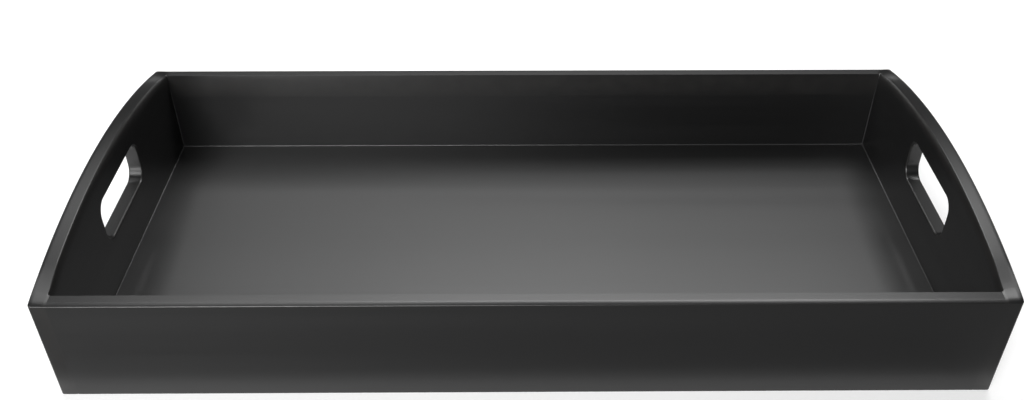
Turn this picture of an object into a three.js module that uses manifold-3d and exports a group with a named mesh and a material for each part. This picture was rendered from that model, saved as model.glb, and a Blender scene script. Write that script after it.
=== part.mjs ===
// Serving tray in black-lacquered bamboo: two long rails butted and dowelled between two arched
// ends, round a thin floor that sits in a groove. Each end has a finger hole to carry the tray by.
// Millimetres. +X runs along the tray, +Y to its back, +Z up. The origin is under its middle, on
// the surface that it stands on.

import * as THREE from 'three';
import { mergeVertices } from 'three/addons/utils/BufferGeometryUtils.js';
import Module from 'manifold-3d';

// Frame of four boards
const trayLength = 610;
const trayWidth = 290;
const railHeight = 78.5;
const railThickness = 11;
const endThickness = 11;
const archRise = 19;
const archRadius = 610;

// Finger hole in each end
const holeLength = 84;
const holeHeight = 32.5;
const holeCornerRadius = 10;
const woodOverHole = 21;

// Rounded edges. Each end's arch is also sanded down to the rails at its two corners.
const railOuterRound = 1;
const railInnerRound = 1;
const endOuterRound = 2;
const endInnerRound = 1.5;
const cornerRound = 1.5;
const cornerBlend = 9;
const footRound = 1;
const holeRound = 1.5;
const leastRound = 0.05;

// Floor and the groove that holds it
const floorThickness = 5;
const floorRecess = 5;
const grooveDepth = 4;
const slackOverFloor = 0.3;
const slackRoundFloor = 0.5;

// Dowels across each corner joint
const dowelLevels = ['lower', 'upper'];
const dowelDiameter = 5;
const dowelChamfer = 0.6;
const dowelDepthInRail = 18;
const woodOverDowel = 3.5;
const slackRoundDowel = 0.2;
const slackPastDowel = 0.5;

// How finely curves are stepped, and how far a cutter reaches past the face that it starts from
const archSteps = 24;
const blendSteps = 4;
const roundSteps = 4;
const holeCornerSteps = 6;
const dowelSides = 16;
const cutterReach = 1;

// Finishes
const lacquerColour = 0x131313;
const lacquerRoughness = 0.42;
const dowelColour = 0xcdb27e;
const dowelRoughness = 0.8;

// Sizes that follow from the ones above
const jointX = trayLength / 2 - endThickness;
const wellHalfWidth = trayWidth / 2 - railThickness;
const crownHeight = railHeight + archRise;
const archDrop = archRadius - Math.sqrt(archRadius ** 2 - (trayWidth / 2) ** 2);
const archStand = archRise - archDrop;
const holeTop = crownHeight - woodOverHole;
const holeSill = holeTop - holeHeight;
const grooveBottom = floorRecess;
const grooveTop = floorRecess + floorThickness + slackOverFloor;
const floorReach = grooveDepth - slackRoundFloor;
const dowelDepthInEnd = endThickness - woodOverDowel - slackPastDowel;
const dowelSpacing = (railHeight - grooveTop) / (dowelLevels.length + 1);

const wasm = await Module();
wasm.setup();

// Cutting and joining work on bare closed meshes
function solidOf(geometry) {
  const bare = new THREE.BufferGeometry();
  bare.setAttribute('position', geometry.getAttribute('position'));
  bare.setIndex(geometry.getIndex());
  const merged = mergeVertices(bare);
  const mesh = new wasm.Mesh({
    numProp: 3,
    vertProperties: merged.getAttribute('position').array,
    triVerts: new Uint32Array(merged.getIndex().array),
  });
  return new wasm.Manifold(mesh);
}

function geometryOf(solid) {
  const mesh = solid.getMesh();
  const geometry = new THREE.BufferGeometry();
  geometry.setAttribute('position', new THREE.BufferAttribute(mesh.vertProperties, 3));
  geometry.setIndex(new THREE.BufferAttribute(mesh.triVerts, 1));
  geometry.computeVertexNormals();
  return geometry;
}

// A quarter of a circle about (u, v). Quarter 0 runs from +u to +v, and each next one goes on from there.
function quarterRound(u, v, radius, quarter, steps = roundSteps) {
  const points = [];
  for (let i = 0; i <= steps; i++) {
    const angle = (quarter + i / steps) * Math.PI / 2;
    points.push(new THREE.Vector2(u + radius * Math.cos(angle), v + radius * Math.sin(angle)));
  }
  return points;
}

// A closed skin over convex rings of points, all with the same count and in the same order
function loft(rings) {
  const count = rings[0].length;
  const last = (rings.length - 1) * count;
  const faces = [];
  for (let start = 0; start < last; start += count) {
    for (let i = 0; i < count; i++) {
      const here = start + i;
      const next = start + (i + 1) % count;
      faces.push(here, next, next + count, here, next + count, here + count);
    }
  }
  for (let i = 1; i + 1 < count; i++) {
    faces.push(0, i + 1, i, last, last + i, last + i + 1);
  }
  const geometry = new THREE.BufferGeometry().setFromPoints(rings.flat());
  geometry.setIndex(faces);
  geometry.computeVertexNormals();
  return geometry;
}

// How far a rounded edge has fallen away at a distance from its face
function roundFall(distance, radius) {
  if (distance >= radius) return 0;
  return radius - Math.sqrt(radius ** 2 - (radius - distance) ** 2);
}

// A cutter for one dowel hole, along X from one depth to another
function dowelHole(fromX, toX, y, z) {
  const radius = dowelDiameter / 2 + slackRoundDowel;
  const bore = new THREE.CylinderGeometry(radius, radius, toX - fromX, dowelSides);
  bore.rotateZ(Math.PI / 2);
  bore.translate((fromX + toX) / 2, y, z);
  return solidOf(bore);
}

function dowelHeight(level) {
  return grooveTop + dowelSpacing * (level + 1);
}

// Long rail, modelled as the front one: its outer face is at y = 0 and its middle at x = 0
function railGeometry() {
  const inside = railThickness;
  const section = new THREE.Shape([
    ...quarterRound(footRound, footRound, footRound, 2),
    ...quarterRound(inside - footRound, footRound, footRound, 3),
    new THREE.Vector2(inside, grooveBottom),
    new THREE.Vector2(inside - grooveDepth, grooveBottom),
    new THREE.Vector2(inside - grooveDepth, grooveTop),
    new THREE.Vector2(inside, grooveTop),
    ...quarterRound(inside - railInnerRound, railHeight - railInnerRound, railInnerRound, 0),
    ...quarterRound(railOuterRound, railHeight - railOuterRound, railOuterRound, 1),
  ]);
  const board = new THREE.ExtrudeGeometry(section, { depth: 2 * jointX, bevelEnabled: false });
  const alongX = new THREE.Vector3(1, 0, 0);
  const alongY = new THREE.Vector3(0, 1, 0);
  const alongZ = new THREE.Vector3(0, 0, 1);
  board.applyMatrix4(new THREE.Matrix4().makeBasis(alongY, alongZ, alongX));
  board.translate(-jointX, 0, 0);
  let rail = solidOf(board);
  const holeBottom = jointX - dowelDepthInRail - slackPastDowel;
  const holeMouth = jointX + cutterReach;
  dowelLevels.forEach((name, level) => {
    const z = dowelHeight(level);
    rail = rail.subtract(dowelHole(holeBottom, holeMouth, railThickness / 2, z));
    rail = rail.subtract(dowelHole(-holeMouth, -holeBottom, railThickness / 2, z));
  });
  return geometryOf(rail);
}

// Height of the end's top at a distance y from the tray's middle line: an arc that stands a little
// over the rails where it reaches them, and is blended down to meet them flush at the outer face
function archHeight(y) {
  const arc = crownHeight - archRadius + Math.sqrt(archRadius ** 2 - y ** 2);
  const intoBlend = Math.max(0, Math.abs(y) - (trayWidth / 2 - cornerBlend)) / cornerBlend;
  return arc - archStand * intoBlend ** 2;
}

// Places along Y where the end's section is drawn: along the arch, over each rail and round each corner
function endStations() {
  const half = [];
  for (let i = 1; i <= archSteps / 2; i++) {
    half.push(wellHalfWidth * i / (archSteps / 2));
  }
  const cornerStart = trayWidth / 2 - cornerRound;
  for (let i = 1; i < blendSteps; i++) {
    half.push(wellHalfWidth + (cornerStart - wellHalfWidth) * i / blendSteps);
  }
  for (let i = 0; i <= roundSteps; i++) {
    half.push(cornerStart + cornerRound * Math.sin(i / roundSteps * Math.PI / 2));
  }
  const mirrored = half.map((y) => -y).reverse();
  return [...mirrored, 0, ...half];
}

// The end board's section across its thickness: inner face at x = 0, outer face at x = -endThickness.
// Over a rail all that stands above the rail is rounded over on the inside, so that the two meet flush.
function endSection(y) {
  const fromFace = trayWidth / 2 - Math.abs(y);
  const outside = -endThickness + roundFall(fromFace, cornerRound);
  const foot = roundFall(fromFace, footRound);
  const top = archHeight(y) - roundFall(fromFace, railOuterRound);
  const overRail = Math.abs(y) > wellHalfWidth;
  const inner = overRail ? Math.max(top - railHeight, leastRound) : endInnerRound;
  const points = [
    ...quarterRound(outside + footRound, foot + footRound, footRound, 2),
    ...quarterRound(-footRound, foot + footRound, footRound, 3),
    ...quarterRound(-inner, top - inner, inner, 0),
    ...quarterRound(outside + endOuterRound, top - endOuterRound, endOuterRound, 1),
  ];
  return points.map((point) => new THREE.Vector3(point.x, y, point.y)).reverse();
}

// Outline of the finger hole at a depth x, opened out by a margin all round
function holeOutline(x, margin) {
  const right = holeLength / 2 - holeCornerRadius;
  const low = holeSill + holeCornerRadius;
  const high = holeTop - holeCornerRadius;
  const radius = holeCornerRadius + margin;
  const points = [
    ...quarterRound(right, high, radius, 0, holeCornerSteps),
    ...quarterRound(-right, high, radius, 1, holeCornerSteps),
    ...quarterRound(-right, low, radius, 2, holeCornerSteps),
    ...quarterRound(right, low, radius, 3, holeCornerSteps),
  ];
  return points.map((point) => new THREE.Vector3(x, point.x, point.y));
}

// Cutter for the finger hole, flared at both faces so that the hole's edges come out rounded
function holeCutter() {
  const flare = [];
  for (let i = 0; i <= roundSteps; i++) {
    const angle = i / roundSteps * Math.PI / 2;
    flare.push({ depth: holeRound * (1 - Math.cos(angle)), margin: holeRound * (1 - Math.sin(angle)) });
  }
  const outward = flare.map((step) => holeOutline(-endThickness + step.depth, step.margin));
  const inward = flare.map((step) => holeOutline(-step.depth, step.margin)).reverse();
  const rings = [
    holeOutline(-endThickness - cutterReach, holeRound),
    ...outward,
    ...inward,
    holeOutline(cutterReach, holeRound),
  ];
  return solidOf(loft(rings));
}

// Arched end, modelled as the left one: its inner face is at x = 0 and the tray's middle line at y = 0.
// The groove stops inside the board, so it doesn't show at the corners.
function endGeometry() {
  let end = solidOf(loft(endStations().map(endSection)));
  end = end.subtract(holeCutter());
  const grooveLength = 2 * (wellHalfWidth + grooveDepth);
  const groove = new THREE.BoxGeometry(grooveDepth + cutterReach, grooveLength, grooveTop - grooveBottom);
  groove.translate((cutterReach - grooveDepth) / 2, 0, (grooveTop + grooveBottom) / 2);
  end = end.subtract(solidOf(groove));
  const holeBottom = -dowelDepthInEnd - slackPastDowel;
  const dowelY = trayWidth / 2 - railThickness / 2;
  dowelLevels.forEach((name, level) => {
    const z = dowelHeight(level);
    end = end.subtract(dowelHole(holeBottom, cutterReach, -dowelY, z));
    end = end.subtract(dowelHole(holeBottom, cutterReach, dowelY, z));
  });
  return geometryOf(end);
}

// Floor, resting on the lower cheek of the groove all round
function floorGeometry() {
  const length = 2 * (jointX + floorReach);
  const width = 2 * (wellHalfWidth + floorReach);
  return new THREE.BoxGeometry(length, width, floorThickness);
}

// Dowel with chamfered ends, along X, with the joint between end and rail at x = 0
function dowelGeometry() {
  const radius = dowelDiameter / 2;
  const profile = [
    new THREE.Vector2(0, -dowelDepthInEnd),
    new THREE.Vector2(radius - dowelChamfer, -dowelDepthInEnd),
    new THREE.Vector2(radius, -dowelDepthInEnd + dowelChamfer),
    new THREE.Vector2(radius, dowelDepthInRail - dowelChamfer),
    new THREE.Vector2(radius - dowelChamfer, dowelDepthInRail),
    new THREE.Vector2(0, dowelDepthInRail),
  ];
  const dowel = new THREE.LatheGeometry(profile, dowelSides);
  dowel.rotateZ(-Math.PI / 2);
  return dowel;
}

function lacquer() {
  return new THREE.MeshStandardMaterial({
    color: lacquerColour,
    roughness: lacquerRoughness,
    metalness: 0,
  });
}

function bareBamboo() {
  return new THREE.MeshStandardMaterial({
    color: dowelColour,
    roughness: dowelRoughness,
    metalness: 0,
  });
}

function named(name, geometry, material) {
  const mesh = new THREE.Mesh(geometry, material);
  mesh.name = name;
  return mesh;
}

const tray = new THREE.Group();

// The back rail and the right end are the front rail and the left end turned half round
const frontRail = named('front_rail', railGeometry(), lacquer());
frontRail.position.y = -trayWidth / 2;
const backRail = named('back_rail', railGeometry(), lacquer());
backRail.position.y = trayWidth / 2;
backRail.rotation.z = Math.PI;
const leftEnd = named('left_end', endGeometry(), lacquer());
leftEnd.position.x = -jointX;
const rightEnd = named('right_end', endGeometry(), lacquer());
rightEnd.position.x = jointX;
rightEnd.rotation.z = Math.PI;
tray.add(frontRail, backRail, leftEnd, rightEnd);

const floor = named('floor_panel', floorGeometry(), lacquer());
floor.position.z = floorRecess + floorThickness / 2;
tray.add(floor);

const corners = [
  { name: 'front_left', x: -1, y: -1 },
  { name: 'front_right', x: 1, y: -1 },
  { name: 'back_left', x: -1, y: 1 },
  { name: 'back_right', x: 1, y: 1 },
];
for (const corner of corners) {
  const joint = new THREE.Group();
  joint.position.x = corner.x * jointX;
  joint.position.y = corner.y * (trayWidth / 2 - railThickness / 2);
  joint.rotation.z = corner.x < 0 ? 0 : Math.PI;
  dowelLevels.forEach((name, level) => {
    const dowel = named(`dowel_${corner.name}_${name}`, dowelGeometry(), bareBamboo());
    dowel.position.z = dowelHeight(level);
    joint.add(dowel);
  });
  tray.add(joint);
}

export default tray;
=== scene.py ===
# Serving tray of laminated bamboo under black satin lacquer: two straight rails dowelled between two
# arched ends, round a thin floor. Metres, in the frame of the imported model: +X along the tray, +Y to
# its back, +Z up, with the origin on the table under its middle.

import math

import bmesh
import bpy
from mathutils import Matrix, Vector


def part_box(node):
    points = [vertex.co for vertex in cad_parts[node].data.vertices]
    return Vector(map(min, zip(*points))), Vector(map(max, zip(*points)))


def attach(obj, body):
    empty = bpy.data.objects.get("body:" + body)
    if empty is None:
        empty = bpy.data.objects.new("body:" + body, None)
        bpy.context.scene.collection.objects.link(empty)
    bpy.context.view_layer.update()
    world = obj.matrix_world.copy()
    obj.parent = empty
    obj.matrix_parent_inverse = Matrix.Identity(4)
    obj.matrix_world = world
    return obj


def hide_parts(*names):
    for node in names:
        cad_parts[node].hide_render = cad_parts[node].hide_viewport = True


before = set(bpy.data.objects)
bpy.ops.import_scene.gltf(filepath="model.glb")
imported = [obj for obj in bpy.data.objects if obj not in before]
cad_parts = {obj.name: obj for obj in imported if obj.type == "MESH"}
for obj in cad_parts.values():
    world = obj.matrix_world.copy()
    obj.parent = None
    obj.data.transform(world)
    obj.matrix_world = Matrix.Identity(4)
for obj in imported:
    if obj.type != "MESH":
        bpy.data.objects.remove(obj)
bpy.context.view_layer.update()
MM = 0.001


# Rails
# The two long boards, sawn from laminated bamboo and planed square. A groove near the foot takes the
# floor, two holes in each end take the dowels, and the edges are sanded before the lacquer is sprayed.

rail_low, rail_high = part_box("front_rail")
floor_low, floor_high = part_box("floor_panel")
joint_x = rail_high.x
half_width = -rail_low.y
well_half_width = -rail_high.y
rail_thickness = half_width - well_half_width
rail_top = rail_high.z
rail_ease = dict(width=3.8 * MM, tilt=math.radians(30))
rail_inner_ease = dict(width=1.5 * MM, height=20 * MM, power=1.25)
arris_round = 0.6 * MM
foot_round = 1.0 * MM
groove_depth = 4.0 * MM
groove_slack = 0.3 * MM
groove_top = floor_high.z + groove_slack
round_steps = 8
eased_steps = 6
inner_crowding = 1.6
sharp_angle = math.radians(35)


def quarter_round(u, v, radius, quarter, steps=round_steps):
    """Points on a quarter of a circle about (u, v). Quarter 0 runs from +u to +v."""
    points = []
    for i in range(steps + 1):
        angle = (quarter + i / steps) * math.pi / 2
        points.append((u + radius * math.cos(angle), v + radius * math.sin(angle)))
    return points


def quarter_highlight():
    """How much painted highlight each point of a rounded edge takes: none where it meets the faces."""
    return [math.sin(math.pi * i / round_steps) for i in range(round_steps + 1)]


def eased_edge(width, tilt):
    """The outer edge of a sanded top, from the flat out to the face: a slow fall over the width, up to the
    tilt, and then a tight arris. Gives (distance in from the face, fall) for each point."""
    slow_radius = (width - arris_round * (1 - math.sin(tilt))) / math.sin(tilt)
    points = []
    for i in range(eased_steps):
        angle = tilt * i / eased_steps
        points.append((width - slow_radius * math.sin(angle), slow_radius * (1 - math.cos(angle))))
    slow_fall = slow_radius * (1 - math.cos(tilt))
    for i in range(round_steps + 1):
        angle = tilt + (math.pi / 2 - tilt) * i / round_steps
        fall = slow_fall + arris_round * (math.cos(tilt) - math.cos(angle))
        points.append((arris_round * (1 - math.sin(angle)), fall))
    return points


def eased_highlight():
    """Painted highlight for the points of an eased edge: only its arris takes it."""
    return [0.0] * eased_steps + quarter_highlight()


def inner_fall(distance, width, height, power):
    """How far an eased inner edge has fallen at a distance from its face. The face leans back by the width
    over the height, and turns into the top: at power 1 in a sharp edge, at 2 in a round one."""
    share = 1 - min(distance / width, 1.0)
    return height * (1 - (1 - share**power) ** (1 / power))


def inner_edge(width, height, power):
    """The eased inner edge, from the face up to the flat: (distance back from the face, fall). Its points
    crowd together where it leaves the face and where it turns into the top."""
    points = []
    for i in range(round_steps + 1):
        to_go = (1 - i / round_steps) ** inner_crowding
        back = width * (1 - math.sin(math.pi / 2 * to_go))
        points.append((back, inner_fall(back, width, height, power)))
    return points


def add_loop(bm, points, highlight_share=()):
    """New vertices at the points, each with its share of painted edge highlight."""
    layer = bm.verts.layers.float.get("painted_edge_highlight") or bm.verts.layers.float.new("painted_edge_highlight")
    loop = [bm.verts.new(point) for point in points]
    for vertex, share in zip(loop, highlight_share):
        vertex[layer] = share
    return loop


def skin(bm, first, second, skip=()):
    """Faces between two loops of as many vertices, apart from the sides that are left open."""
    for i, vertex in enumerate(first):
        j = (i + 1) % len(first)
        if i not in skip:
            bm.faces.new((vertex, first[j], second[j], second[i]))


def flat_face(bm, *loops):
    """A flat face inside the first loop, with the other loops as holes in it."""
    edges = []
    for loop in loops:
        for i, vertex in enumerate(loop):
            pair = (vertex, loop[(i + 1) % len(loop)])
            edges.append(bm.edges.get(pair) or bm.edges.new(pair))
    bmesh.ops.triangle_fill(bm, use_beauty=True, use_dissolve=False, edges=edges)


def pocket(bm, mouth_points, depth):
    """A blind recess from its mouth down to a flat bottom. Gives back the mouth's vertices."""
    mouth = add_loop(bm, mouth_points)
    bottom = add_loop(bm, [Vector(point) + depth for point in mouth_points])
    skin(bm, mouth, bottom)
    bm.faces.new(bottom)
    return mouth


def make_piece(name, bm, material):
    """An object from the mesh: smooth over its rounded edges, with flat faces that stay flat."""
    bmesh.ops.recalc_face_normals(bm, faces=bm.faces)
    for face in bm.faces:
        face.smooth = True
    for edge in bm.edges:
        edge.smooth = edge.calc_face_angle(0) < sharp_angle
    mesh = bpy.data.meshes.new(name)
    bm.to_mesh(mesh)
    bm.free()
    mesh.materials.append(material)
    piece = bpy.data.objects.new(name, mesh)
    bpy.context.scene.collection.objects.link(piece)
    weighted = piece.modifiers.new("flat_faces_stay_flat", "WEIGHTED_NORMAL")
    weighted.keep_sharp = True
    return piece


# Dowel holes are bored a little wider and deeper than the dowels that they take
dowel_slack = 0.2 * MM
dowel_end_slack = 0.5 * MM
dowel_hole_sides = 24


def dowel_hole(bm, node, face_x, way):
    """The blind hole for one dowel, in a board whose face is at face_x and whose wood lies along X on the
    side that way gives, -1 or 1. Gives back the mouth's vertices."""
    low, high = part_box(node)
    centre = (low + high) / 2
    radius = (high.z - low.z) / 2 + dowel_slack
    mouth = []
    for i in range(dowel_hole_sides):
        angle = 2 * math.pi * i / dowel_hole_sides
        mouth.append((face_x, centre.y + radius * math.cos(angle), centre.z + radius * math.sin(angle)))
    bottom_x = high.x + dowel_end_slack if way > 0 else low.x - dowel_end_slack
    return pocket(bm, mouth, Vector((bottom_x - face_x, 0, 0)))


def surface_group(name, *outputs):
    """An empty shader node group that takes a place on the surface and puts out values for it."""
    group = bpy.data.node_groups.new(name, "ShaderNodeTree")
    group.interface.new_socket("Vector", in_out="INPUT", socket_type="NodeSocketVector")
    for label in outputs:
        group.interface.new_socket(label, in_out="OUTPUT", socket_type="NodeSocketFloat")
    return group, group.nodes.new("NodeGroupInput"), group.nodes.new("NodeGroupOutput")


# Grain of the bamboo that telegraphs through the lacquer: long fine fibres along the board's length
grain_group, grain_in, grain_out = surface_group("bamboo_grain", "Fibres", "Drift")
fibres = grain_group.nodes.new("ShaderNodeTexNoise")
fibres.inputs["Scale"].default_value = 1.0
fibres.inputs["Detail"].default_value = 4.0
fibres.inputs["Roughness"].default_value = 0.6
drift = grain_group.nodes.new("ShaderNodeTexNoise")
drift.inputs["Scale"].default_value = 0.12
drift.inputs["Detail"].default_value = 2.0
grain_group.links.new(grain_in.outputs["Vector"], fibres.inputs["Vector"])
grain_group.links.new(grain_in.outputs["Vector"], drift.inputs["Vector"])
grain_group.links.new(fibres.outputs["Fac"], grain_out.inputs["Fibres"])
grain_group.links.new(drift.outputs["Fac"], grain_out.inputs["Drift"])

# Skin of the sprayed lacquer: a slight orange peel, the same in all directions
skin_group, skin_in, skin_out = surface_group("sprayed_skin", "Peel")
peel = skin_group.nodes.new("ShaderNodeTexNoise")
peel.inputs["Scale"].default_value = 550.0
peel.inputs["Detail"].default_value = 1.0
skin_group.links.new(skin_in.outputs["Vector"], peel.inputs["Vector"])
skin_group.links.new(peel.outputs["Fac"], skin_out.inputs["Peel"])

# Painted highlight on the rounded edges: the share kept on the mesh, broken up by a fine noise
edge_group, edge_in, edge_out = surface_group("painted_edge_highlights", "Highlight")
kept_share = edge_group.nodes.new("ShaderNodeAttribute")
kept_share.attribute_name = "painted_edge_highlight"
patches = edge_group.nodes.new("ShaderNodeTexNoise")
patches.inputs["Scale"].default_value = 90.0
patches.inputs["Detail"].default_value = 3.0
highlight_patches = edge_group.nodes.new("ShaderNodeMath")
highlight_patches.operation = "MULTIPLY"
edge_group.links.new(edge_in.outputs["Vector"], patches.inputs["Vector"])
edge_group.links.new(kept_share.outputs["Fac"], highlight_patches.inputs[0])
edge_group.links.new(patches.outputs["Fac"], highlight_patches.inputs[1])
edge_group.links.new(highlight_patches.outputs["Value"], edge_out.inputs["Highlight"])

# The film's gloss is a little wider across the grain, at a quarter turn to it, than along it. The rounded
# edges are painted lighter than black, as a painted highlight. The grain's drift stays mostly within its
# range.
cross_grain_stretch = 0.35
quarter_turn = 0.25
painted_highlight_grey = (0.020, 0.019, 0.018)
drift_range = (0.3, 0.7)


def lacquer(name, along, fibre_scale, deep, light, gloss, sheen, grain_height, peel_height):
    """Black satin lacquer. along is the way the grain runs and fibre_scale how it is drawn out, deep and
    light are the colours between fibres and on them, gloss is the least and the most roughness, sheen is
    how much the film mirrors, and the heights are the relief of the grain and of the orange peel."""
    material = bpy.data.materials.new(name)
    material.use_nodes = True
    nodes = material.node_tree.nodes
    link = material.node_tree.links.new
    shader = nodes["Principled BSDF"]
    shader.inputs["Specular IOR Level"].default_value = sheen
    shader.inputs["Anisotropic"].default_value = cross_grain_stretch
    shader.inputs["Anisotropic Rotation"].default_value = quarter_turn
    grain_way = nodes.new("ShaderNodeCombineXYZ")
    for axis, amount in zip("XYZ", along):
        grain_way.inputs[axis].default_value = amount
    link(grain_way.outputs["Vector"], shader.inputs["Tangent"])

    place = nodes.new("ShaderNodeTexCoord")
    drawn = nodes.new("ShaderNodeMapping")
    drawn.inputs["Scale"].default_value = fibre_scale
    link(place.outputs["Object"], drawn.inputs["Vector"])
    grain = nodes.new("ShaderNodeGroup")
    grain.node_tree = grain_group
    link(drawn.outputs["Vector"], grain.inputs["Vector"])
    sprayed = nodes.new("ShaderNodeGroup")
    sprayed.node_tree = skin_group
    link(place.outputs["Object"], sprayed.inputs["Vector"])
    edges = nodes.new("ShaderNodeGroup")
    edges.node_tree = edge_group
    link(place.outputs["Object"], edges.inputs["Vector"])

    tone = nodes.new("ShaderNodeMix")
    tone.data_type = "RGBA"
    tone.inputs["A"].default_value = (*deep, 1)
    tone.inputs["B"].default_value = (*light, 1)
    link(grain.outputs["Fibres"], tone.inputs["Factor"])
    # Painted highlight: the rounded edges take a lighter colour by their share on the mesh
    highlighted = nodes.new("ShaderNodeMix")
    highlighted.data_type = "RGBA"
    highlighted.inputs["B"].default_value = (*painted_highlight_grey, 1)
    link(tone.outputs["Result"], highlighted.inputs["A"])
    link(edges.outputs["Highlight"], highlighted.inputs["Factor"])
    link(highlighted.outputs["Result"], shader.inputs["Base Color"])

    dull = nodes.new("ShaderNodeMapRange")
    dull.inputs["From Min"].default_value = drift_range[0]
    dull.inputs["From Max"].default_value = drift_range[1]
    dull.inputs["To Min"].default_value = gloss[0]
    dull.inputs["To Max"].default_value = gloss[1]
    link(grain.outputs["Drift"], dull.inputs["Value"])
    link(dull.outputs["Result"], shader.inputs["Roughness"])

    fibre_bump = nodes.new("ShaderNodeBump")
    fibre_bump.inputs["Strength"].default_value = 1.0
    fibre_bump.inputs["Distance"].default_value = grain_height
    link(grain.outputs["Fibres"], fibre_bump.inputs["Height"])
    peel_bump = nodes.new("ShaderNodeBump")
    peel_bump.inputs["Strength"].default_value = 1.0
    peel_bump.inputs["Distance"].default_value = peel_height
    link(sprayed.outputs["Peel"], peel_bump.inputs["Height"])
    link(fibre_bump.outputs["Normal"], peel_bump.inputs["Normal"])
    link(peel_bump.outputs["Normal"], shader.inputs["Normal"])
    return material


# One spray for all four boards
board_spray = dict(
    deep=(0.0055, 0.0055, 0.0056),
    light=(0.0075, 0.0075, 0.0076),
    gloss=(0.33, 0.39),
    sheen=0.65,
    grain_height=0.008 * MM,
    peel_height=0.0015 * MM,
)
rail_lacquer = lacquer("rail_lacquer", along=(1, 0, 0), fibre_scale=(14, 420, 420), **board_spray)


def rail_section():
    """The rail's outline across its length: (distance in from the outer face, height), and its painted edge
    highlight.
    """
    inside = rail_thickness
    groove = [
        (inside, floor_low.z),
        (inside - groove_depth, floor_low.z),
        (inside - groove_depth, groove_top),
        (inside, groove_top),
    ]
    outline = [
        *quarter_round(foot_round, foot_round, foot_round, 2),
        *quarter_round(inside - foot_round, foot_round, foot_round, 3),
        *groove,
        *[(inside - back, rail_top - fall) for back, fall in inner_edge(**rail_inner_ease)],
        *[(depth, rail_top - fall) for depth, fall in eased_edge(**rail_ease)],
    ]
    rounded = quarter_highlight()
    return outline, [*rounded, *rounded, *[0.0] * len(groove), *rounded, *eased_highlight()]


def rail_board(side, turn):
    """One rail. The back one is the front one turned half round the tray's middle."""
    bm = bmesh.new()
    outline, highlight_share = rail_section()
    loops = []
    for end in (-turn, turn):
        points = [(end * joint_x, turn * (depth - half_width), z) for depth, z in outline]
        loops.append(add_loop(bm, points, highlight_share))
    skin(bm, *loops)
    for end, loop in zip((-turn, turn), loops):
        hand = "left" if end < 0 else "right"
        mouths = []
        for level in ("lower", "upper"):
            mouths.append(dowel_hole(bm, f"dowel_{side}_{hand}_{level}", end * joint_x, -end))
        flat_face(bm, loop, *mouths)
    piece = make_piece(f"{side}_rail_lacquered", bm, rail_lacquer)
    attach(piece, "root")
    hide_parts(f"{side}_rail")


rail_board("front", turn=1)
rail_board("back", turn=-1)


# Floor
# A thin panel of bamboo strips glued side by side, lacquered and let into the groove all round. It isn't
# glued there, so the wood can swell and shrink.

floor_arris = 0.4 * MM
floor_arris_steps = 4
floor_lacquer = lacquer(
    "floor_lacquer",
    along=(1, 0, 0),
    fibre_scale=(9, 330, 330),
    deep=(0.0055, 0.0055, 0.0056),
    light=(0.0081, 0.0081, 0.0082),
    gloss=(0.34, 0.38),
    sheen=0.7,
    grain_height=0.014 * MM,
    peel_height=0.0015 * MM,
)


def oblong_loop(bm, x, y, z):
    """Four new vertices, at the corners of an oblong round the tray's middle."""
    return add_loop(bm, [(-x, -y, z), (x, -y, z), (x, y, z), (-x, y, z)])


floor_edge = [
    *reversed(quarter_round(floor_arris, floor_low.z + floor_arris, floor_arris, 2, floor_arris_steps)),
    *reversed(quarter_round(floor_arris, floor_high.z - floor_arris, floor_arris, 1, floor_arris_steps)),
]
floor_bm = bmesh.new()
floor_loops = []
for inset, z in floor_edge:
    floor_loops.append(oblong_loop(floor_bm, floor_high.x - inset, floor_high.y - inset, z))
for first, second in zip(floor_loops, floor_loops[1:]):
    skin(floor_bm, first, second)
floor_bm.faces.new(floor_loops[0])
floor_bm.faces.new(floor_loops[-1])
floor_piece = make_piece("floor_lacquered", floor_bm, floor_lacquer)
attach(floor_piece, "root")
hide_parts("floor_panel")


# Arched ends
# The two short boards that the tray is carried by. The arch is sawn and sanded round, the finger hole is
# routed and its edges are rounded over, and the tops are sanded down to the rails at the corners.

end_low, end_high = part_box("left_end")
end_thickness = end_high.x - end_low.x
crown = end_high.z
end_ease = dict(width=3.0 * MM, tilt=math.radians(8))
end_inner_ease = dict(width=1.8 * MM, height=8 * MM, power=2.0)
sanded_length = 24 * MM
sanded_share = 0.85
landing_ease = 0.6 * MM
corner_round = 1.5 * MM
corner_start = half_width - corner_round
corner_fade = 0.95
arch_steps = 48
landing_steps = 20
landing_crowding = 1.5
hole_length = 84 * MM
hole_height = 32.5 * MM
hole_corner = 10 * MM
hole_corner_steps = 12
hole_round = 1.5 * MM
wood_over_hole = 21 * MM
hole_top = crown - wood_over_hole
hole_sill = hole_top - hole_height
end_lacquer = lacquer("end_lacquer", along=(0, 1, 0), fibre_scale=(420, 14, 420), **board_spray)


def round_fall(distance, radius):
    """How far a rounded edge has fallen away at a distance from its face."""
    if distance >= radius:
        return 0.0
    return radius - math.sqrt(radius**2 - (radius - distance) ** 2)


def soft_step(share):
    """A step from 0 to 1 that starts and ends level."""
    share = min(max(share, 0.0), 1.0)
    return share * share * (3 - 2 * share)


def arch_height(y):
    """Height of the arch, which comes down to the rail's height at the tray's corner."""
    rise = crown - rail_top
    radius = (half_width**2 + rise**2) / (2 * rise)
    return crown - radius + math.sqrt(radius**2 - y**2)


def inner_height(y):
    """Height of the arch at its inner edge, which is sanded down to land on the rail."""
    share = (abs(y) - well_half_width) / sanded_length + 1
    sanded = sanded_share * (arch_height(well_half_width) - rail_top) * soft_step(share)
    over_rail = (arch_height(y) - sanded - rail_top) / landing_ease
    return rail_top + landing_ease * math.log1p(math.exp(over_rail))


def top_height(out, y):
    """Height of the end's top at a distance out from its inner face."""
    inner = inner_height(y)
    return inner + (arch_height(y) - inner) * out / end_thickness


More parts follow.
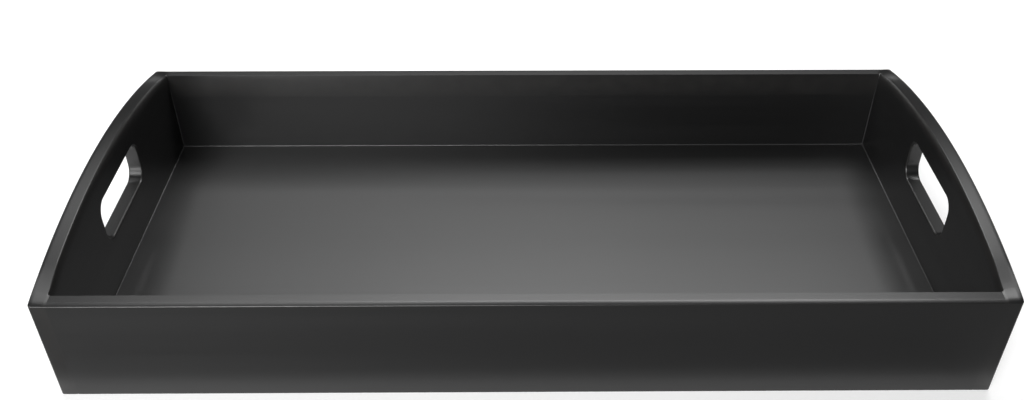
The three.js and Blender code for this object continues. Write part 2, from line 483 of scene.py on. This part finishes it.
def eased_fall(distance):
    """How far the rail's eased edge has fallen at a distance from its face."""
    points = eased_edge(**rail_ease)
    if distance >= points[0][0]:
        return 0.0
    for (near, near_fall), (far, far_fall) in zip(points, points[1:]):
        if distance >= far:
            return near_fall + (far_fall - near_fall) * (near - distance) / (near - far)
    return points[-1][1]


def end_stations():
    """Places along Y where the end's section is drawn: evenly along the arch, more closely where it lands on
    the rail, and round the corner."""
    half = [well_half_width * i / arch_steps for i in range(1, arch_steps + 1)]
    landing_length = corner_start - well_half_width
    for i in range(1, landing_steps):
        half.append(well_half_width + landing_length * (i / landing_steps) ** landing_crowding)
    for i in range(round_steps + 1):
        half.append(corner_start + corner_round * math.sin(math.pi / 2 * i / round_steps))
    return [*[-y for y in reversed(half)], 0.0, *half]


def end_section(y):
    """The end's outline across its thickness: (distance out from the inner face, height), and its painted
    edge highlight. Past the rail's inner face the top lies flush with the rail along the joint, and toward
    the corner the end's own outer edge fades into the rail's."""
    from_face = half_width - abs(y)
    past_rail = max(abs(y) - well_half_width, 0.0)
    outside = end_thickness - round_fall(from_face, corner_round)
    foot = round_fall(from_face, foot_round)
    front_fall = eased_fall(from_face)
    edge_share = 1 - corner_fade * front_fall / eased_fall(0)
    top = []
    for depth, fall in reversed(eased_edge(**end_ease)):
        top.append((outside - depth * edge_share, fall * edge_share))
    for back, _ in reversed(inner_edge(**end_inner_ease)):
        top.append((back, 0.0))
    outline = [
        *quarter_round(foot_round, foot + foot_round, foot_round, 2),
        *quarter_round(outside - foot_round, foot + foot_round, foot_round, 3),
    ]
    for out, outer_fall in top:
        fall = front_fall + outer_fall + inner_fall(math.hypot(out, past_rail), **end_inner_ease)
        outline.append((out, top_height(out, y) - fall))
    return outline, [*quarter_highlight(), *quarter_highlight(), *reversed(eased_highlight()), *quarter_highlight()]


def hole_outline(margin):
    """The finger hole's outline (y, z), opened out by a margin all round."""
    side = hole_length / 2 - hole_corner
    low = hole_sill + hole_corner
    high = hole_top - hole_corner
    outline = []
    for quarter, (y, z) in enumerate(((side, high), (-side, high), (-side, low), (side, low))):
        outline += quarter_round(y, z, hole_corner + margin, quarter, hole_corner_steps)
    return outline


def end_board(hand, turn):
    """One end. The right one is the left one turned half round the tray's middle."""
    bm = bmesh.new()

    def placed(out, y, z):
        return (turn * (-joint_x - out), turn * y, z)

    # The sides of the section that lie in the outer and the inner face stay open, because those have holes
    outer_face = 2 * round_steps + 1
    inner_face = len(end_section(0)[0]) - 1
    stations = end_stations()
    rings = []
    for y in stations:
        outline, highlight_share = end_section(y)
        rings.append(add_loop(bm, [placed(out, y, z) for out, z in outline], highlight_share))
    flat = [abs(y) <= corner_start for y in stations]
    for i in range(len(rings) - 1):
        open_sides = {inner_face}
        if flat[i] and flat[i + 1]:
            open_sides.add(outer_face)
        skin(bm, rings[i], rings[i + 1], open_sides)
    bm.faces.new(rings[0])
    bm.faces.new(rings[-1])

    rounded = quarter_round(hole_round, hole_round, hole_round, 2)
    hole_depths = [*rounded, *[(end_thickness - depth, margin) for depth, margin in reversed(rounded)]]
    hole_rings = []
    for (depth, margin), highlight_share in zip(hole_depths, quarter_highlight() * 2):
        points = [placed(depth, y, z) for y, z in hole_outline(margin)]
        hole_rings.append(add_loop(bm, points, [highlight_share] * len(points)))
    for first, second in zip(hole_rings, hole_rings[1:]):
        skin(bm, first, second)

    reach = well_half_width + groove_depth
    groove_mouth = [
        placed(0, -reach, floor_low.z),
        placed(0, reach, floor_low.z),
        placed(0, reach, groove_top),
        placed(0, -reach, groove_top),
    ]
    mouths = [hole_rings[0], pocket(bm, groove_mouth, Vector((-turn * groove_depth, 0, 0)))]
    for side in ("front", "back"):
        for level in ("lower", "upper"):
            mouths.append(dowel_hole(bm, f"dowel_{side}_{hand}_{level}", -turn * joint_x, -turn))
    inner_loop = [ring[0] for ring in rings] + [ring[inner_face] for ring in reversed(rings)]
    flat_face(bm, inner_loop, *mouths)
    flat_rings = [ring for ring, is_flat in zip(rings, flat) if is_flat]
    outer_loop = [ring[outer_face] for ring in flat_rings]
    outer_loop += [ring[outer_face + 1] for ring in reversed(flat_rings)]
    flat_face(bm, outer_loop, hole_rings[-1])
    piece = make_piece(f"{hand}_end_lacquered", bm, end_lacquer)
    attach(piece, "root")
    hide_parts(f"{hand}_end")


end_board("left", turn=1)
end_board("right", turn=-1)


# Lacquer beads
# The sprayed lacquer gathers in the inner corners of the tray: a fine hollow bead runs round the floor and
# up each of the four corners, and thins out toward the top.

bead_radius = 0.8 * MM
bead_sink = 0.05 * MM
bead_steps = 6
bead_foot = floor_high.z
bead_below_top = 4 * MM
bead_height = rail_top - bead_below_top - bead_foot
bead_thinning = 0.8
bead_levels = 8
# The bead's lacquer is painted lighter than the boards': a painted highlight along the hollow
bead_lacquer_painted_highlight = lacquer(
    "bead_lacquer_painted_highlight",
    along=(1, 0, 0),
    fibre_scale=(14, 420, 420),
    deep=(0.020, 0.020, 0.0202),
    light=(0.030, 0.030, 0.0303),
    gloss=(0.30, 0.36),
    sheen=0.65,
    grain_height=0.002 * MM,
    peel_height=0.003 * MM,
)


def bead_outline(radius):
    """The bead's outline: (distance from one face, distance from the other)."""
    hollow = reversed(quarter_round(radius, radius, radius, 2, bead_steps))
    return [(-bead_sink, -bead_sink), (radius, -bead_sink), *hollow, (-bead_sink, radius)]


floor_bead_bm = bmesh.new()
bead_loops = []
for inset, rise in bead_outline(bead_radius):
    bead_loops.append(oblong_loop(floor_bead_bm, joint_x - inset, well_half_width - inset, bead_foot + rise))
for first, second in zip(bead_loops, [*bead_loops[1:], bead_loops[0]]):
    skin(floor_bead_bm, first, second)
floor_bead = make_piece("floor_bead", floor_bead_bm, bead_lacquer_painted_highlight)
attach(floor_bead, "root")

corner_bead_bm = bmesh.new()
for x_side in (-1, 1):
    for y_side in (-1, 1):
        bead_loops = []
        for i in range(bead_levels + 1):
            climb = i / bead_levels
            points = []
            for from_end, from_rail in bead_outline(bead_radius * (1 - bead_thinning * climb**3)):
                x = x_side * (joint_x - from_end)
                y = y_side * (well_half_width - from_rail)
                points.append((x, y, bead_foot + bead_height * climb))
            bead_loops.append(add_loop(corner_bead_bm, points))
        for first, second in zip(bead_loops, bead_loops[1:]):
            skin(corner_bead_bm, first, second)
        corner_bead_bm.faces.new(bead_loops[0])
        corner_bead_bm.faces.new(bead_loops[-1])
corner_beads = make_piece("corner_beads", corner_bead_bm, bead_lacquer_painted_highlight)
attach(corner_beads, "root")


# Dowels
# Plain turned bamboo rods, two glued into each corner joint with their grain along the tray. They keep the
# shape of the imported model, and the boards hide them.

dowel_fibre_scale = (60, 1800, 1800)
dowel_dark = (0.50, 0.34, 0.14)
dowel_pale = (0.68, 0.51, 0.26)
dowel_roughness = 0.7
dowel_bamboo = bpy.data.materials.new("dowel_bamboo")
dowel_bamboo.use_nodes = True
dowel_nodes = dowel_bamboo.node_tree.nodes
dowel_link = dowel_bamboo.node_tree.links.new
dowel_place = dowel_nodes.new("ShaderNodeTexCoord")
dowel_drawn = dowel_nodes.new("ShaderNodeMapping")
dowel_drawn.inputs["Scale"].default_value = dowel_fibre_scale
dowel_grain = dowel_nodes.new("ShaderNodeGroup")
dowel_grain.node_tree = grain_group
dowel_tone = dowel_nodes.new("ShaderNodeMix")
dowel_tone.data_type = "RGBA"
dowel_tone.inputs["A"].default_value = (*dowel_dark, 1)
dowel_tone.inputs["B"].default_value = (*dowel_pale, 1)
dowel_shader = dowel_nodes["Principled BSDF"]
dowel_shader.inputs["Roughness"].default_value = dowel_roughness
dowel_link(dowel_place.outputs["Object"], dowel_drawn.inputs["Vector"])
dowel_link(dowel_drawn.outputs["Vector"], dowel_grain.inputs["Vector"])
dowel_link(dowel_grain.outputs["Fibres"], dowel_tone.inputs["Factor"])
dowel_link(dowel_tone.outputs["Result"], dowel_shader.inputs["Base Color"])
for side in ("front", "back"):
    for hand in ("left", "right"):
        for level in ("lower", "upper"):
            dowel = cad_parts[f"dowel_{side}_{hand}_{level}"]
            dowel.data.materials.clear()
            dowel.data.materials.append(dowel_bamboo)


# Table
# A white sheet under the tray and far out behind it, with its front edge just before the tray. The table's
# grey
# before that edge is painted shade: it darkens what the tray's front rail mirrors. The sheet shows white,
# also mirrored, and keeps the tray's soft shadow.

table_reach = 6.0
# Painted shade: the grey before the sheet's edge, mirrored dark in the front rail
painted_shade_grey = (0.22, 0.22, 0.22)
sheet_white = (0.65, 0.65, 0.65)
sheet_glow = 0.42
sheet_margin = 11 * MM
sheet_front = -half_width - sheet_margin
sheet_fade = 7 * MM

table_mesh = bpy.data.meshes.new("table")
table_bm = bmesh.new()
bmesh.ops.create_grid(table_bm, x_segments=1, y_segments=1, size=table_reach)
table_bm.to_mesh(table_mesh)
table_bm.free()
table = bpy.data.objects.new("table", table_mesh)
bpy.context.scene.collection.objects.link(table)

table_white = bpy.data.materials.new("table_white")
table_white.use_nodes = True
table_nodes = table_white.node_tree.nodes
table_link = table_white.node_tree.links.new
table_nodes.remove(table_nodes["Principled BSDF"])
sheet_place = table_nodes.new("ShaderNodeTexCoord")
sheet_axes = table_nodes.new("ShaderNodeSeparateXYZ")
whiteness = table_nodes.new("ShaderNodeMapRange")
whiteness.interpolation_type = "SMOOTHSTEP"
whiteness.inputs["From Min"].default_value = sheet_front - sheet_fade
whiteness.inputs["From Max"].default_value = sheet_front
sheet_tone = table_nodes.new("ShaderNodeMix")
sheet_tone.data_type = "RGBA"
sheet_tone.inputs["A"].default_value = (*painted_shade_grey, 1)
sheet_tone.inputs["B"].default_value = (*sheet_white, 1)
paper = table_nodes.new("ShaderNodeBsdfDiffuse")
table_link(sheet_place.outputs["Object"], sheet_axes.inputs["Vector"])
table_link(sheet_axes.outputs["Y"], whiteness.inputs["Value"])
table_link(whiteness.outputs["Result"], sheet_tone.inputs["Factor"])
table_link(sheet_tone.outputs["Result"], paper.inputs["Color"])

seen = table_nodes.new("ShaderNodeLightPath")
seen_or_mirrored = table_nodes.new("ShaderNodeMath")
seen_or_mirrored.operation = "MAXIMUM"
seen_mirrored_or_through = table_nodes.new("ShaderNodeMath")
seen_mirrored_or_through.operation = "MAXIMUM"
white_glow = table_nodes.new("ShaderNodeMath")
white_glow.operation = "MULTIPLY"
white_glow.inputs[1].default_value = sheet_glow
glow_level = table_nodes.new("ShaderNodeMath")
glow_level.operation = "MULTIPLY"
glow = table_nodes.new("ShaderNodeEmission")
table_link(seen.outputs["Is Camera Ray"], seen_or_mirrored.inputs[0])
table_link(seen.outputs["Is Glossy Ray"], seen_or_mirrored.inputs[1])
table_link(seen_or_mirrored.outputs["Value"], seen_mirrored_or_through.inputs[0])
table_link(seen.outputs["Is Transmission Ray"], seen_mirrored_or_through.inputs[1])
table_link(whiteness.outputs["Result"], white_glow.inputs[0])
table_link(seen_mirrored_or_through.outputs["Value"], glow_level.inputs[0])
table_link(white_glow.outputs["Value"], glow_level.inputs[1])
table_link(glow_level.outputs["Value"], glow.inputs["Strength"])

sheet = table_nodes.new("ShaderNodeAddShader")
table_link(paper.outputs["BSDF"], sheet.inputs[0])
table_link(glow.outputs["Emission"], sheet.inputs[1])
table_link(sheet.outputs["Shader"], table_nodes["Material Output"].inputs["Surface"])
table_mesh.materials.append(table_white)


# Studio light
# Soft boxes hung over the tray, behind it and over its front, two upright ones at the front left, and a dim
# even world. The ones behind show in the floor and the tops, and the upright ones light the front rail.

hung_height = 1.4
upright_y = -1.3
world_strength = 0.03


def soft_box(name, place, aim, width, depth, watts):
    """A rectangular lamp at a place, turned to its aim."""
    lamp = bpy.data.lights.new(name, "AREA")
    lamp.shape = "RECTANGLE"
    lamp.size = width
    lamp.size_y = depth
    lamp.energy = watts
    box = bpy.data.objects.new(name, lamp)
    box.location = place
    box.rotation_mode = "QUATERNION"
    box.rotation_quaternion = (Vector(aim) - Vector(place)).to_track_quat("-Z", "Y")
    bpy.context.scene.collection.objects.link(box)


def hung_box(name, x, y, width, depth, watts):
    """A soft box that hangs level over the table and shines straight down."""
    soft_box(name, (x, y, hung_height), (x, y, 0), width, depth, watts)


def upright_box(name, x, z, width, height, watts):
    """A soft box that stands in front of the tray and shines level toward the back."""
    soft_box(name, (x, upright_y, z), (x, 0, z), width, height, watts)


hung_box("key_box", x=0.3, y=0.75, width=1.2, depth=0.5, watts=16.5)
hung_box("back_top_box", x=-0.28, y=1.22, width=1.2, depth=0.5, watts=8.2)
hung_box("back_right_box", x=0.6, y=1.25, width=0.6, depth=0.5, watts=2.0)
hung_box("left_key_box", x=-0.6, y=0.75, width=0.6, depth=0.5, watts=2.2)
hung_box("far_left_box", x=-1.0, y=1.0, width=0.4, depth=0.4, watts=0.8)
hung_box("far_right_box", x=1.2, y=1.25, width=0.6, depth=0.5, watts=0.8)
hung_box("left_fill_box", x=-0.5, y=0.2, width=0.6, depth=0.5, watts=2.6)
hung_box("right_fill_box", x=0.6, y=0.25, width=0.6, depth=0.5, watts=1.9)
hung_box("front_top_box", x=-0.9, y=-1.25, width=0.8, depth=0.5, watts=13.0)
upright_box("front_left_box", x=-0.4, z=1.0, width=0.8, height=0.4, watts=23.0)
upright_box("low_left_box", x=-0.6, z=0.2, width=0.4, height=0.4, watts=7.4)
world = bpy.data.worlds.new("studio")
world.use_nodes = True
world.node_tree.nodes["Background"].inputs["Color"].default_value = (1, 1, 1, 1)
world.node_tree.nodes["Background"].inputs["Strength"].default_value = world_strength
bpy.context.scene.world = world
bpy.context.scene.view_settings.view_transform = "Standard"


# Camera
# A normal lens in front of the tray's middle, looking down at it from about its own length away. The frame
# is 1024 by 400 pixels, and the lens is shifted by as much as the frame's middle is off the lens's axis.

frame_size = (1024, 400)
optical_middle = (523.7, 231)
focal_pixels = 1021.5
sensor = 36.0
camera_place = Vector((-5.97, -607.06, 499.78)) * MM
camera_pitch = math.radians(38.2525)
camera_yaw = math.radians(-0.459)
camera_roll = math.radians(0.074)

ahead = Vector((0, math.cos(camera_pitch), -math.sin(camera_pitch)))
above = Vector((0, math.sin(camera_pitch), math.cos(camera_pitch)))
aside = Vector((1, 0, 0))
turned = Matrix.Rotation(camera_yaw, 3, "Z")
ahead, above, aside = turned @ ahead, turned @ above, turned @ aside
right = math.cos(camera_roll) * aside + math.sin(camera_roll) * above
up = math.cos(camera_roll) * above - math.sin(camera_roll) * aside
camera_data = bpy.data.cameras.new("camera")
camera_data.sensor_fit = "HORIZONTAL"
camera_data.sensor_width = sensor
camera_data.lens = sensor * focal_pixels / frame_size[0]
camera_data.shift_x = (frame_size[0] / 2 - optical_middle[0]) / frame_size[0]
camera_data.shift_y = (optical_middle[1] - frame_size[1] / 2) / frame_size[0]
camera_data.clip_start = 10 * MM
camera = bpy.data.objects.new("camera", camera_data)
camera.matrix_world = Matrix(
    (
        (right.x, up.x, -ahead.x, camera_place.x),
        (right.y, up.y, -ahead.y, camera_place.y),
        (right.z, up.z, -ahead.z, camera_place.z),
        (0, 0, 0, 1),
    )
)
bpy.context.scene.collection.objects.link(camera)
bpy.context.scene.camera = camera
